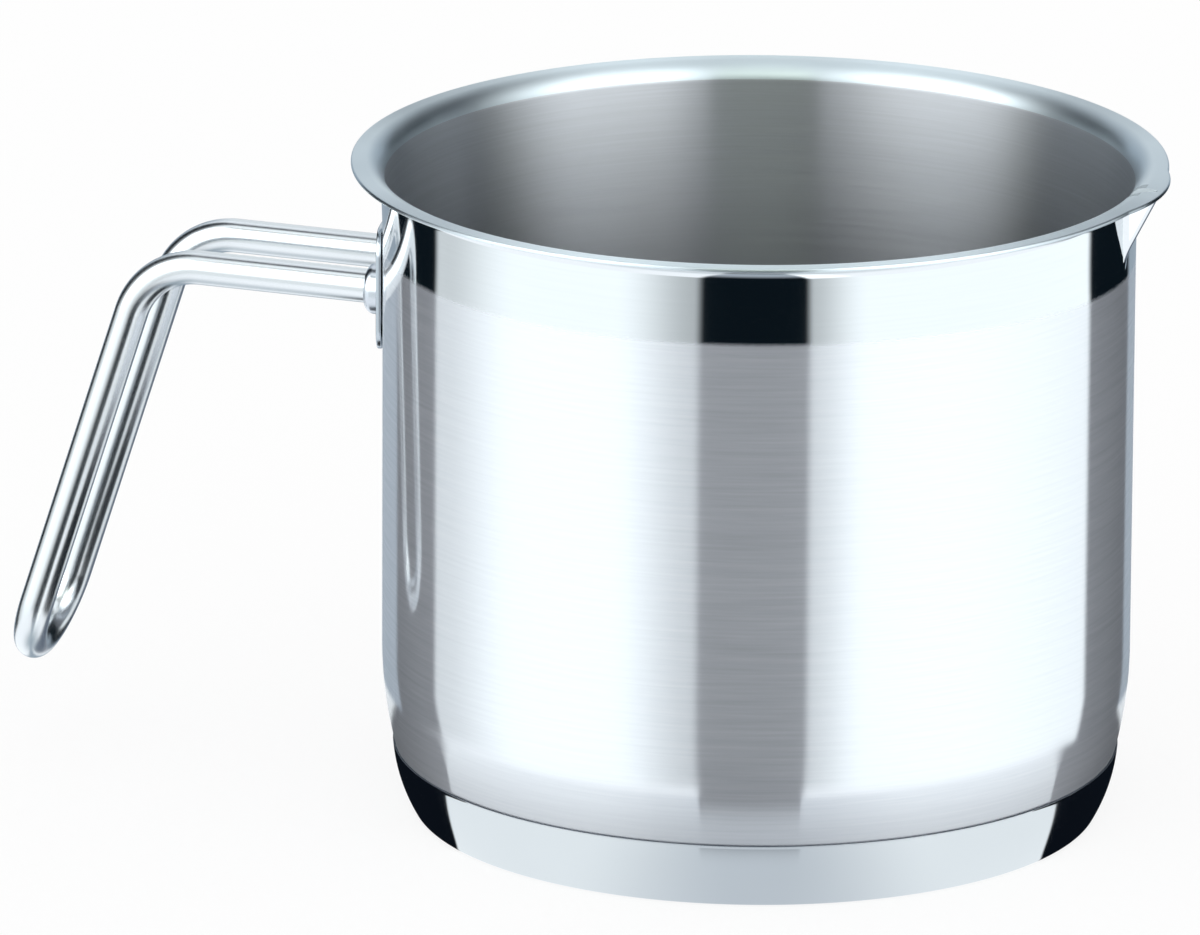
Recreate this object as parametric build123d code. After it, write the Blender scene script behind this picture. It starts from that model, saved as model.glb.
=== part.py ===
from build123d import *
import os
from math import asin, cos, degrees, hypot, radians, sin, sqrt, tan

os.makedirs("parts", exist_ok=True)

# Milk pan of stainless steel. Sizes are in millimetres and +Z is up.
# The origin is on the pan's axis, in the plane that the base stands on.
# The handle points along -X and the pouring beak along +X.

# Vessel: one deep-drawn sheet
vessel_radius = 71.0  # outside of the straight wall
vessel_wall = 0.8
rim_height = 126.6  # top of the lip above the table
taper_height = 32.2  # the wall starts to draw in below this height
taper_radius = 78.0  # long arc of the drawn-in wall, in section
knuckle_radius = 9.0  # corner between wall and floor, in section

# Lip: the rolled-out rim
lip_reach = 6.0  # from the wall's outside to the lip's edge
lip_bend_radius = 2.3  # underside of the bend
lip_edge_round = 0.3

# Beak: a narrow V pressed into the wall and the lip
beak_drop = 13.6  # from the rim down to the beak's tip on the wall
beak_lean = 27.0  # degrees between the ridge and the vertical
beak_half_angle = 24.0  # degrees between each flank and the ridge, seen from above
beak_ridge_round = 1.4  # outside rounding of the ridge
nose_reach = 1.4  # how far the lip's outline swells at the beak
nose_half_width = 15.0

# Base: aluminium core in a steel capsule
core_thickness = 5.5
cap_wall = 0.5
cap_height = 12.9  # how far the capsule laps up the vessel
cap_step = 0.35  # the capsule's rim stands this far proud of the vessel
cap_bulge = 0.8  # crown of the capsule's side wall
cap_rim_round = 0.15
foot_inset = 6.2  # from the straight wall in to where the side would meet the table
foot_round = 1.1

# Handle: one bent rod
rod_diameter = 6.5
leg_spacing = 23.8  # between the axes of the two legs
handle_drop = 27.6  # from the rim down to the rod's axis at the bracket
leg_length = 44.8  # from the bracket to the corner where the legs turn down
leg_rise = 1.4  # degrees that the legs climb away from the pan
drop_angle = 17.9  # degrees that the drop leans outwards
handle_clearance = 16.3  # from the table up to the lowest point of the U
bend_radius = 14.0  # centre line of the rod

# Bracket: a saddle plate on four weld pads
bracket_width = 34.6
bracket_height = 23.6
bracket_sheet = 1.0
bracket_gap = 0.4  # between the plate and the vessel's wall
bracket_corner = 5.0
bracket_edge_round = 0.25
pad_radius = 2.4
pad_spacing_across = 23.0
pad_spacing_up = 17.2
dimple_radius = 1.8
dimple_depth = 0.35

# Collars: domed rings round the rod's two ends
collar_radius = 4.9
collar_length = 2.0
collar_round = 1.6
collar_sag = 0.3  # the collars sit this much below the rods' axes

overrun = 4.0  # how far cutting bodies run past what they cut

# Worked out from the sizes above
rod_radius = rod_diameter / 2
leg_offset = leg_spacing / 2
vessel_floor = cap_wall + core_thickness
foot_radius = vessel_radius - foot_inset
lip_radius = vessel_radius + lip_reach
lip_bend_height = rim_height - vessel_wall - lip_bend_radius
lip_bend_centre = (vessel_radius + lip_bend_radius, lip_bend_height)
plate_inside = vessel_radius + bracket_gap
plate_outside = plate_inside + bracket_sheet
cutting_height = 2 * (rim_height + overrun)  # cutting bodies centred on the origin

# The handle hangs from the rim, and its U ends a set height above the table
handle_height = rim_height - handle_drop
leg_climb = tan(radians(leg_rise))
corner_reach = plate_outside + leg_length
corner_height = handle_height + leg_length * leg_climb
u_fall = corner_height - handle_clearance - rod_radius
drop_length = u_fall / cos(radians(drop_angle)) - leg_offset

# The long arc and the knuckle share a tangent, leaning this far from the vertical
arc_offset = taper_radius - knuckle_radius
wall_lean = degrees(asin((taper_height - vessel_floor - knuckle_radius) / arc_offset))
taper_centre = (vessel_radius - taper_radius, taper_height)
knuckle_centre = (
    taper_centre[0] + arc_offset * cos(radians(wall_lean)),
    taper_height - arc_offset * sin(radians(wall_lean)),
)


def turned(outline):
    """Solid of revolution from a closed outline of (radius, height) edges."""
    return revolve(Plane.XZ * make_face(outline), Axis.Z)


def wall_radius_at(height):
    """Outside radius of the vessel on its long drawn-in arc."""
    fall = taper_height - height
    return taper_centre[0] + sqrt(taper_radius**2 - fall**2)


def vessel_outline(inset):
    """Half outline of the vessel from its floor to the bend of the lip, moved in by inset."""
    floor = vessel_floor + inset
    side = vessel_radius - inset
    return [
        Line((0, floor), (knuckle_centre[0], floor)),
        CenterArc(knuckle_centre, knuckle_radius - inset, -90, 90 - wall_lean),
        CenterArc(taper_centre, taper_radius - inset, -wall_lean, wall_lean),
        Line((side, taper_height), (side, lip_bend_height)),
        Line((side, lip_bend_height), (0, lip_bend_height)),
        Line((0, lip_bend_height), (0, floor)),
    ]


def lip_outside():
    """Half outline of the lip and all that it encloses, with a rounded edge."""
    under = rim_height - vessel_wall
    rounded = lip_radius - lip_edge_round
    return [
        Line((0, lip_bend_height), (vessel_radius, lip_bend_height)),
        CenterArc(lip_bend_centre, lip_bend_radius, 180, -90),
        Line((lip_bend_centre[0], under), (rounded, under)),
        CenterArc((rounded, under + lip_edge_round), lip_edge_round, -90, 90),
        Line((lip_radius, under + lip_edge_round), (lip_radius, rim_height - lip_edge_round)),
        CenterArc((rounded, rim_height - lip_edge_round), lip_edge_round, 0, 90),
        Line((rounded, rim_height), (0, rim_height)),
        Line((0, rim_height), (0, lip_bend_height)),
    ]


def lip_inside():
    """Half outline of the mouth inside the lip's bend."""
    side = vessel_radius - vessel_wall
    return [
        Line((0, lip_bend_height), (side, lip_bend_height)),
        CenterArc(lip_bend_centre, lip_bend_radius + vessel_wall, 180, -90),
        Line((lip_bend_centre[0], rim_height), (0, rim_height)),
        Line((0, rim_height), (0, lip_bend_height)),
    ]


def beak_wedge(inset):
    """Rounded V along the ridge, from inside the pan to the rim, with its faces moved in by inset."""
    lean = radians(beak_lean)
    half = radians(beak_half_angle)
    across = sin(half) * cos(lean) / hypot(cos(lean), sin(lean) * sin(half))
    ridge = vessel_radius + beak_drop * tan(lean)
    point = ridge + beak_ridge_round * (1 / sin(half) - 1) - inset / across
    root = vessel_radius - knuckle_radius
    half_width = (point - root) * tan(half)
    plan = Polygon((root, -half_width), (point, 0), (root, half_width), align=None)
    tip = plan.vertices().sort_by(Axis.X)[-1]
    plan = Pos(0, 0, rim_height) * fillet(tip, beak_ridge_round - inset)
    length = (beak_drop + overrun) / cos(lean)
    return extrude(plan, length, dir=(-sin(lean), 0, -cos(lean)))


def nose_plate():
    """Swelling of the lip's outline at the beak, one arc in plan."""
    chord = sqrt(lip_radius**2 - nose_half_width**2)
    peak = lip_radius + nose_reach
    plan = make_face(
        [
            ThreePointArc((chord, -nose_half_width), (peak, 0), (chord, nose_half_width)),
            Line((chord, nose_half_width), (vessel_radius, 0)),
            Line((vessel_radius, 0), (chord, -nose_half_width)),
        ]
    )
    return Pos(0, 0, rim_height - vessel_wall) * extrude(plan, vessel_wall)


def make_pan_body():
    """Vessel, lip and beak: one sheet of even thickness."""
    outside = turned(vessel_outline(0)) + turned(lip_outside()) + beak_wedge(0) + nose_plate()
    inside = turned(vessel_outline(vessel_wall)) + turned(lip_inside())
    return outside - inside - beak_wedge(vessel_wall)


def cap_outline(inset):
    """Half outline of the capsule, moved in by inset, up to its rim."""
    rim = wall_radius_at(cap_height) + cap_step - inset
    foot = foot_radius - inset
    chord = hypot(rim - foot, cap_height - inset)
    crown = (
        (rim + foot) / 2 + cap_bulge * (cap_height - inset) / chord,
        (cap_height + inset) / 2 - cap_bulge * (rim - foot) / chord,
    )
    outline = make_face(
        [
            Line((0, inset), (foot, inset)),
            ThreePointArc((foot, inset), crown, (rim, cap_height)),
            Line((rim, cap_height), (0, cap_height)),
            Line((0, cap_height), (0, inset)),
        ]
    )
    corner = outline.vertices().sort_by_distance((foot, inset))[0]
    return fillet(corner, foot_round - inset)


def capsule(inset):
    """Everything inside the capsule's outside, moved in by inset."""
    return revolve(Plane.XZ * cap_outline(inset), Axis.Z)


def make_base_core():
    """Aluminium disc that fills the capsule up to the vessel."""
    return capsule(cap_wall) - turned(vessel_outline(0))


def make_base_cap():
    """Steel capsule round the core, with its rim lapped on the vessel."""
    shell = capsule(0) - capsule(cap_wall) - turned(vessel_outline(0))
    rim = shell.edges().filter_by(GeomType.CIRCLE).group_by(Axis.Z)[-1].sort_by(SortBy.RADIUS)[-1]
    return fillet(rim, cap_rim_round)


def leg_points(side):
    """Bracket end, corner and lower end of one leg's axis; side is -1 or 1."""
    offset = side * leg_offset
    return [
        Vector(-vessel_radius, offset, handle_height - (plate_outside - vessel_radius) * leg_climb),
        Vector(-corner_reach, offset, corner_height),
        Vector(
            -corner_reach - drop_length * sin(radians(drop_angle)),
            offset,
            corner_height - drop_length * cos(radians(drop_angle)),
        ),
    ]


def make_handle_rod():
    """One rod: leg, bend, drop, U and back the same way, cut to the bracket's face."""
    near = leg_points(-1)
    far = leg_points(1)
    drop = (near[2] - near[1]).normalized()
    turn_middle = (near[2] + far[2]) / 2 + drop * leg_offset
    path = Wire(
        FilletPolyline(*near, radius=bend_radius).edges()
        + ThreePointArc(near[2], turn_middle, far[2]).edges()
        + FilletPolyline(*reversed(far), radius=bend_radius).edges()
    )
    section = Plane(origin=near[0], z_dir=near[1] - near[0]) * Circle(rod_radius)
    rod = sweep(section, path)
    length = path.length
    print("rod length", round(length, 1), "volume ratio", round(rod.volume / (section.area * length), 4))
    return rod - Cylinder(plate_outside, cutting_height)


def make_collar(side):
    """Domed ring round one rod end, seated on the bracket."""
    start, corner, _ = leg_points(side)
    seat = sqrt(plate_outside**2 - leg_offset**2)
    along = (corner - start).normalized()
    origin = start + along * ((seat - vessel_radius) / cos(radians(leg_rise)))
    disc = Pos(0, collar_sag) * Circle(collar_radius)
    blank = extrude(disc, collar_length) + extrude(disc, -overrun)
    edge = blank.edges().filter_by(GeomType.CIRCLE).sort_by(Axis.Z)[-1]
    dome = fillet(edge, collar_round) - Cylinder(rod_radius, cutting_height)
    placed = Plane(origin=origin, x_dir=(0, 1, 0), z_dir=along) * dome
    return placed - Cylinder(plate_outside, cutting_height)


def outward_plane(across, up):
    """Plane that faces away from the pan on the handle's side, with its origin on the pan's axis."""
    return Plane(origin=(0, across, up), x_dir=(0, 1, 0), z_dir=(-1, 0, 0))


def make_handle_bracket():
    """Saddle plate with rounded corners and four pressed weld pads."""
    band = Cylinder(plate_outside, cutting_height) - Cylinder(plate_inside, cutting_height)
    outline = RectangleRounded(bracket_width, bracket_height, bracket_corner)
    blank = extrude(outward_plane(0, handle_height) * outline, plate_outside + overrun)
    plate = band & blank
    plate = fillet(plate.edges(), bracket_edge_round)
    pad_band = Cylinder(plate_inside + bracket_sheet / 2, cutting_height)
    pad_band -= Cylinder(vessel_radius, cutting_height)
    dimple_floor = Cylinder(plate_outside - dimple_depth, cutting_height)
    for across in (-pad_spacing_across / 2, pad_spacing_across / 2):
        for up in (-pad_spacing_up / 2, pad_spacing_up / 2):
            spot = outward_plane(across, handle_height + up)
            plate += extrude(spot * Circle(pad_radius), plate_outside + overrun) & pad_band
            dimple = extrude(spot * Circle(dimple_radius), plate_outside + overrun)
            plate -= dimple - dimple_floor
    return plate


pieces = {
    "pan_body": make_pan_body(),
    "base_core": make_base_core(),
    "base_cap": make_base_cap(),
    "handle_bracket": make_handle_bracket(),
    "handle_rod": make_handle_rod(),
    "handle_collar_near": make_collar(-1),
    "handle_collar_far": make_collar(1),
}

for name, piece in pieces.items():
    export_step(piece, f"parts/{name}.step")
    print(name, "solids", len(piece.solids()), "volume", round(piece.volume))
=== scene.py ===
"""Milk pan of stainless steel: meshes, finishes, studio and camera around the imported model.

Sizes of the pieces are millimetres in the model's own frame: +Z up, the pan's axis on Z,
the beak towards +X and the handle towards -X. Places in the finishes are metres, because
the shaders give them so, and directions in the mirrored room are degrees.
"""

from __future__ import annotations

import logging
import math
from dataclasses import dataclass
from enum import Enum, IntEnum
from functools import cached_property
from typing import Any, Iterable, Mapping

import bpy
import numpy as np
from mathutils import Matrix, Vector

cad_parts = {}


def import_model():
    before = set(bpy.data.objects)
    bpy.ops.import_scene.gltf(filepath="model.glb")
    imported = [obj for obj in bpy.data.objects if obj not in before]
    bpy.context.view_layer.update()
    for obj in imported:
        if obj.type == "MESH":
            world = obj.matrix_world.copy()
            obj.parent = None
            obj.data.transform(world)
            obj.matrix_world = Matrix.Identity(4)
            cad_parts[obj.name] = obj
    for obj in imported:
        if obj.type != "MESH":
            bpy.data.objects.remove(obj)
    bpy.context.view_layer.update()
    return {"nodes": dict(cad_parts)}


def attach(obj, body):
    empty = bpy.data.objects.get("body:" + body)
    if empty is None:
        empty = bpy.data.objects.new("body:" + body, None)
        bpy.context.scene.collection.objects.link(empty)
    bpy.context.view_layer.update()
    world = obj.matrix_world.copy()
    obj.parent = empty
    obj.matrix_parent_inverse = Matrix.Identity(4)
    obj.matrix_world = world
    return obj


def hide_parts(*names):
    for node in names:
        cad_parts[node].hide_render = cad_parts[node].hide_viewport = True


Points = np.ndarray
Colour = tuple[float, float, float]
Pair = tuple[float, float]
Span = tuple[float, float, float, float]
Line = tuple[float, float, float]

LOG = logging.getLogger("milk_pan")
BODY = "root"
MM = 0.001
SHEET = 0.8
ACROSS = np.array([0.0, 1.0, 0.0])


class Side(Enum):
    """Which of the two legs a piece belongs to."""

    NEAR = -1
    FAR = 1


class VesselFace(IntEnum):
    """Finishes of the vessel's faces, in the order of its materials."""

    OUTSIDE = 0
    LIP = 1
    INSIDE = 2
    # Darker steel painted as shade inside the beak.
    SPOUT_SHADE = 3


class CapFace(IntEnum):
    """Finishes of the capsule's faces, in the order of its materials."""

    POLISHED = 0
    # Painted shadow in the crevice between the capsule and the vessel.
    SEAM = 1


# Shader graphs


class Signal:
    """A shader socket that takes part in ordinary Python sums."""

    def __init__(self, graph: Graph, socket: Any) -> None:
        """Keeps the graph that owns the socket.

        Args:
            graph: The graph that new nodes go into.
            socket: An output socket in that graph.
        """
        self.graph = graph
        self.socket = socket

    def _sum(self, operation: str, first: Any, second: Any = None) -> Signal:
        """One Math node.

        Args:
            operation: The Math node's operation.
            first: Value or signal of the first input.
            second: Value or signal of the second input.

        Returns:
            The node's result.
        """
        values = [first] if second is None else [first, second]
        return self.graph.node("ShaderNodeMath", {"operation": operation}, dict(enumerate(values)))

    def __add__(self, other: Any) -> Signal:
        """Sum."""
        return self._sum("ADD", self, other)

    def __radd__(self, other: Any) -> Signal:
        """Sum with a number on the left."""
        return self._sum("ADD", other, self)

    def __sub__(self, other: Any) -> Signal:
        """Difference."""
        return self._sum("SUBTRACT", self, other)

    def __rsub__(self, other: Any) -> Signal:
        """Difference with a number on the left."""
        return self._sum("SUBTRACT", other, self)

    def __mul__(self, other: Any) -> Signal:
        """Product."""
        return self._sum("MULTIPLY", self, other)

    def __rmul__(self, other: Any) -> Signal:
        """Product with a number on the left."""
        return self._sum("MULTIPLY", other, self)

    def __truediv__(self, other: Any) -> Signal:
        """Quotient."""
        return self._sum("DIVIDE", self, other)

    def __rtruediv__(self, other: Any) -> Signal:
        """Quotient with a number on the left."""
        return self._sum("DIVIDE", other, self)

    def __abs__(self) -> Signal:
        """Size without sign."""
        return self._sum("ABSOLUTE", self)

    def maths(self, operation: str, other: Any = None) -> Signal:
        """Any other Math node with this signal first."""
        return self._sum(operation, self, other)

    def ramp(self, start: float, end: float, low: float = 0.0, high: float = 1.0) -> Signal:
        """Smooth step from one value to another.

        Args:
            start: Where the step starts.
            end: Where the step ends.
            low: Value before the start.
            high: Value past the end.

        Returns:
            The stepped signal.
        """
        values = {"Value": self, "From Min": start, "From Max": end, "To Min": low, "To Max": high}
        return self.graph.node("ShaderNodeMapRange", {"interpolation_type": "SMOOTHSTEP"}, values)

    def fall(self, start: float, end: float) -> Signal:
        """Smooth step from one down to zero."""
        return self.ramp(start, end, 1.0, 0.0)

    def within(self, span: Span) -> Signal:
        """One between the span's inner edges, and zero beyond its outer edges."""
        return self.ramp(*span[:2]) * self.fall(*span[2:])

    def mix(self, first: Any, second: Any) -> Signal:
        """Colour between two others, where this signal is the share of the second.

        Args:
            first: Colour or signal.
            second: Colour or signal.

        Returns:
            The mixed colour.
        """
        colours = [c if isinstance(c, Signal) else (*c, 1.0) for c in (first, second)]
        inputs = {0: self, 6: colours[0], 7: colours[1]}
        return self.graph.node("ShaderNodeMix", {"data_type": "RGBA"}, inputs, 2)

    def blend(self, first: Signal, second: Signal) -> Signal:
        """Shader between two others, where this signal is the share of the second."""
        return self.graph.node("ShaderNodeMixShader", {}, {0: self, 1: first, 2: second})

    def noise(self, scale: float, detail: float = 2.0) -> Signal:
        """Fractal noise from 0 to 1, read at the place that this vector gives."""
        values = {"Vector": self, "Scale": scale, "Detail": detail}
        return self.graph.node("ShaderNodeTexNoise", {}, values)

    def parts(self) -> tuple[Signal, Signal, Signal]:
        """The X, Y and Z of this vector."""
        split = self.graph.node("ShaderNodeSeparateXYZ", {}, {0: self}).socket.node
        return tuple(Signal(self.graph, split.outputs[i]) for i in range(3))

    def camera_parts(self, heading: float) -> tuple[Signal, Signal, Signal]:
        """The parts of this vector by the camera's side.

        Args:
            heading: The camera's turn round the pan, in degrees.

        Returns:
            The parts to the right, to the front and up.
        """
        x, y, z = self.parts()
        turn_by = math.radians(heading)
        right = x * math.cos(turn_by) + y * math.sin(turn_by)
        front = x * math.sin(turn_by) - y * math.cos(turn_by)
        return right, front, z


class Graph:
    """A node tree with one way to add nodes."""

    def __init__(self, tree: bpy.types.NodeTree) -> None:
        """Empties the tree.

        Args:
            tree: The node tree of a material or world.
        """
        self.tree = tree
        tree.nodes.clear()

    def node(
        self,
        kind: str,
        settings: Mapping[str, Any] | None = None,
        inputs: Mapping[Any, Any] | None = None,
        output: str | int = 0,
    ) -> Signal:
        """Adds a node.

        Args:
            kind: The node's type name.
            settings: Its properties, set before its inputs.
            inputs: Value or signal for each input, by name or place.
            output: The output wanted, by name or place.

        Returns:
            The output as a signal.
        """
        made = self.tree.nodes.new(kind)
        for name, value in (settings or {}).items():
            setattr(made, name, value)
        for name, value in (inputs or {}).items():
            if isinstance(value, Signal):
                self.tree.links.new(value.socket, made.inputs[name])
            else:
                made.inputs[name].default_value = value
        return Signal(self, made.outputs[output] if made.outputs else made)

    def glow(self, kind: str, colour: Any) -> Signal:
        """Light of strength one, on a surface or as the world's background."""
        return self.node(kind, {}, {"Color": colour, "Strength": 1.0})


def darker(colour: Colour, loss: float) -> Colour:
    """A colour with a share of its light taken away."""
    return tuple(part * (1.0 - loss) for part in colour)


# Finishes


@dataclass(frozen=True)
class Finish:
    """A surface finish, by its material's name."""

    name: str

    def material(self) -> bpy.types.Material:
        """Builds the material.

        Returns:
            The new material.
        """
        made = bpy.data.materials.new(self.name)
        made.use_nodes = True
        graph = Graph(made.node_tree)
        surface = self.surface(graph.node("ShaderNodeTexCoord", output="Object"))
        graph.node("ShaderNodeOutputMaterial", {}, {"Surface": surface})
        return made

    def surface(self, place: Signal) -> Signal:
        """The shader at a place in metres, which each kind of finish gives."""
        raise NotImplementedError


@dataclass(frozen=True)
class Steel(Finish):
    """Bare stainless steel: a clear sheen, and the haze of fine scratches over it."""

    colour: Colour = (0.755, 0.785, 0.805)
    polish: float = 0.045
    satin: float = 0.10
    anisotropy: float = 0.0
    grain_turn: float = 0.25
    haze: float = 0.0
    haze_colour: Colour = (0.755, 0.785, 0.805)
    haze_roughness: float = 0.75
    wear: float = 0.05
    smear_scale: float = 38.0
    smear_height: float = 0.000004
    smear_blur: float = 0.6
    streaks: float = 0.0
    streak_blur: float = 0.5
    streak_pitch: float = 0.0006
    streak_length: float = 0.020
    streak_layers: float = 3.0
    # Painted shade: the heights over which it fades out, the colour it takes away and the haze it adds.
    painted_shade_step: Pair | None = None
    painted_shade_depth: float = 0.0
    painted_shade_haze: float = 0.0

    def surface(self, place: Signal) -> Signal:
        """Smeared polish, or brushed steel where the finish has haze.

        Args:
            place: Position in metres.

        Returns:
            The shader.
        """
        smears = place.noise(self.smear_scale)
        bump = {"Height": smears * self.smear_height, "Distance": 1.0, "Strength": 1.0}
        normal = place.graph.node("ShaderNodeBump", {}, bump)
        polished = self.polish + smears * self.polish * self.smear_blur
        if self.haze:
            return self._brushed(place, polished, normal)
        return self._metal(smears.mix(self.colour, darker(self.colour, self.wear)), polished, normal)

    def _brushed(self, place: Signal, polished: Signal, normal: Signal) -> Signal:
        """Brushed steel under the haze of its scratches, darker and hazier where shade is painted.

        Args:
            place: Position in metres.
            polished: Roughness of polished stretches.
            normal: The surface's normal.

        Returns:
            The shader.
        """
        satin, streak = self._satin_share(place), self._brush_lines(place)
        tint = (streak * 0.5 + 0.5).mix(self.colour, darker(self.colour, self.wear))
        cloudy: Any = (*self.haze_colour, 1.0)
        share = (self.haze + streak * self.streaks) * satin
        # Painted shade: below the given heights the colour darkens and the haze grows, for shade low on
        # the surface.
        if self.painted_shade_step:
            painted_shade = place.parts()[2].fall(*self.painted_shade_step)
            tint = painted_shade.mix(tint, darker(self.colour, self.painted_shade_depth))
            cloudy = painted_shade.mix(self.haze_colour, darker(self.haze_colour, self.painted_shade_depth))
            share = share + painted_shade * self.painted_shade_haze
        brushed = self.satin + streak * self.streaks * self.streak_blur
        clear = self._metal(tint, polished * (1.0 - satin) + brushed * satin, normal)
        return share.blend(clear, self._metal(cloudy, self.haze_roughness, normal))

    def _satin_share(self, place: Signal) -> Signal | float:
        """Share of satin over polish, which is all unless a finish has a polished band."""
        return 1.0

    def _metal(self, colour: Any, roughness: Any, normal: Signal) -> Signal:
        """One layer of metal.

        Args:
            colour: Its colour.
            roughness: Its roughness.
            normal: The surface's normal.

        Returns:
            The shader.
        """
        values = {
            "Base Color": colour,
            "Metallic": 1.0,
            "Roughness": roughness,
            "Anisotropic": self.anisotropy,
            "Anisotropic Rotation": self.grain_turn,
            "Normal": normal,
        }
        return normal.graph.node("ShaderNodeBsdfPrincipled", {}, values)

    def _brush_lines(self, place: Signal) -> Signal:
        """Brush lines round the pan, from -1 to 1.

        Args:
            place: Position in metres.

        Returns:
            The lines.
        """
        x, y, z = place.parts()
        climb = (x * x + y * y).maths("SQRT") + z
        across = climb * (self.streak_length / self.streak_pitch)
        stretched = place.graph.node("ShaderNodeCombineXYZ", {}, {0: x, 1: y, 2: across})
        return (stretched.noise(1 / self.streak_length, self.streak_layers) - 0.5) * 2.0


@dataclass(frozen=True)
class BandedSteel(Steel):
    """Brushed steel with a polished band at the top, which dips at the beak."""

    band_height: float = 0.1104
    band_dip: float = 0.0015
    dip_turn: Pair = (0.0, 0.9)
    band_edge: float = 0.0006

    def _satin_share(self, place: Signal) -> Signal:
        """Share of satin: all below the band and none in it.

        Args:
            place: Position in metres.

        Returns:
            The share.
        """
        x, y, z = place.parts()
        dip = abs(y.maths("ARCTAN2", x)).ramp(*self.dip_turn, self.band_dip, 0.0)
        return (z - (self.band_height - dip)).fall(-self.band_edge, self.band_edge)


@dataclass(frozen=True)
class Aluminium(Finish):
    """Dull aluminium of the heat-spreading core."""

    colour: Colour = (0.78, 0.79, 0.80)
    grain_scale: float = 900.0
    grain_layers: float = 3.0
    grain_depth: float = 0.1
    roughness: float = 0.42
    roughness_spread: float = 0.12

    def surface(self, place: Signal) -> Signal:
        """Fine-grained dull metal.

        Args:
            place: Position in metres.

        Returns:
            The shader.
        """
        grain = place.noise(self.grain_scale, self.grain_layers)
        values = {
            "Base Color": grain.mix(self.colour, darker(self.colour, self.grain_depth)),
            "Metallic": 1.0,
            "Roughness": self.roughness + grain * self.roughness_spread,
        }
        return place.graph.node("ShaderNodeBsdfPrincipled", {}, values)


@dataclass(frozen=True)
class PaleFloor(Finish):
    """Plain white floor with a soft shadow, and near the pan what the steel mirrors.

    Only to glossy rays, the floor near the foot glows with painted reflections and painted
    shade: a pale disc round the foot, darker towards the camera, a dark wedge towards the
    camera between the two light panels, and a dark card on each side of the foot. A line's
    three values are the weights of right and front, and its distance from the pan's axis.
    """

    heading: float
    colour: Colour = (0.95, 0.95, 0.95)
    cloud_scale: float = 2.0
    cloud_share: float = 0.2
    cloud_depth: float = 0.015
    glow_share: float = 0.82
    disc_edge: Pair = (0.104, 0.112)
    disc_turn: Pair = (0.05, 0.62)
    disc_middle: Colour = (0.65, 0.70, 0.755)
    disc_side: Colour = (0.98, 1.03, 1.06)
    dark_colour: Colour = (0.004, 0.006, 0.010)
    wedge_lines: tuple[Line, ...] = ((-0.94665, -0.32227, -0.01158), (0.97113, -0.23853, -0.00856))
    wedge_blur: float = 0.0006
    wedge_start: Pair = (0.076, 0.104)
    wedge_fill: Pair = (0.084, 0.110)
    wedge_depth: float = 0.4
    card_lines: tuple[Line, ...] = ((-0.359, 0.933, 0.0503), (0.292, 0.956, 0.0506))
    card_side: Pair = (0.030, 0.046)
    card_back: Pair = (-0.050, -0.038)
    card_sharp_reach: float = 0.090
    card_sharp_blur: float = 0.0004
    card_blur_growth: float = 0.35

    def surface(self, place: Signal) -> Signal:
        """Pale floor to the camera, and the mirrored floor to the steel.

        Args:
            place: Position on the floor in metres.

        Returns:
            The shader.
        """
        graph = place.graph
        seen = graph.node("ShaderNodeLightPath", output="Is Camera Ray")
        mirrored = graph.node("ShaderNodeLightPath", output="Is Glossy Ray")
        cloud = place.noise(self.cloud_scale, 1.0) * self.cloud_share
        tone = cloud.mix(self.colour, darker(self.colour, self.cloud_depth))
        matt = graph.node("ShaderNodeBsdfDiffuse", {}, {"Color": tone})
        white = graph.glow("ShaderNodeEmission", (1.0, 1.0, 1.0, 1.0))
        shown = (seen * self.glow_share).blend(matt, white)
        return mirrored.blend(shown, self._painted_reflection_disc(place))

    def _painted_reflection_disc(self, place: Signal) -> Signal:
        """Painted reflections and painted shade that the steel sees on the floor near the foot.

        Args:
            place: Position on the floor in metres.

        Returns:
            The shader for glossy rays, clear further out.
        """
        # Painted reflection and painted shade: a glow that only glossy rays see, darker towards the
        # camera, with a dark wedge and two dark cards.
        right, front, _ = place.camera_parts(self.heading)
        reach = (right * right + front * front).maths("SQRT")
        turned = abs(right.maths("ARCTAN2", front)).ramp(*self.disc_turn)
        wedge = reach.ramp(*self.wedge_start) * reach.ramp(*self.wedge_fill, self.wedge_depth, 1.0)
        for line in self.wedge_lines:
            wedge = wedge * self._short_of(line, right, front, self.wedge_blur)
        tone = wedge.mix(turned.mix(self.disc_middle, self.disc_side), self.dark_colour)
        blur = (reach - self.card_sharp_reach).maths("MAXIMUM", 0.0) * self.card_blur_growth
        blur = blur + self.card_sharp_blur
        for line in self.card_lines:
            beside = (right * math.copysign(1.0, line[0])).ramp(*self.card_side)
            card = self._short_of(line, right, front, blur) * beside * front.ramp(*self.card_back)
            tone = card.mix(tone, self.dark_colour)
        clear = place.graph.node("ShaderNodeBsdfTransparent")
        return reach.ramp(*self.disc_edge).blend(place.graph.glow("ShaderNodeEmission", tone), clear)

    @staticmethod
    def _short_of(line: Line, right: Signal, front: Signal, blur: Any) -> Signal:
        """Mask of the floor whose distance, by a line's weights, is below the line's own.

        Args:
            line: The line.
            right: Place to the right of the pan's axis, in metres.
            front: Place towards the camera.
            blur: Half width of the soft edge, in metres.

        Returns:
            The mask.
        """
        across, along, distance = line
        return ((right * across + front * along - distance) / blur).fall(-1.0, 1.0)


# Geometry


def arc(centre: Pair, radius: float, start: float, end: float, steps: int) -> Points:
    """Points along a circular arc.

    Args:
        centre: The arc's centre.
        radius: Its radius.
        start: First angle in degrees.
        end: Last angle in degrees.
        steps: Number of spans.

    Returns:
        Rows of two coordinates, both ends included.
    """
    angle = np.radians(np.linspace(start, end, steps + 1))
    return np.stack([centre[0] + radius * np.cos(angle), centre[1] + radius * np.sin(angle)], 1)


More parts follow.
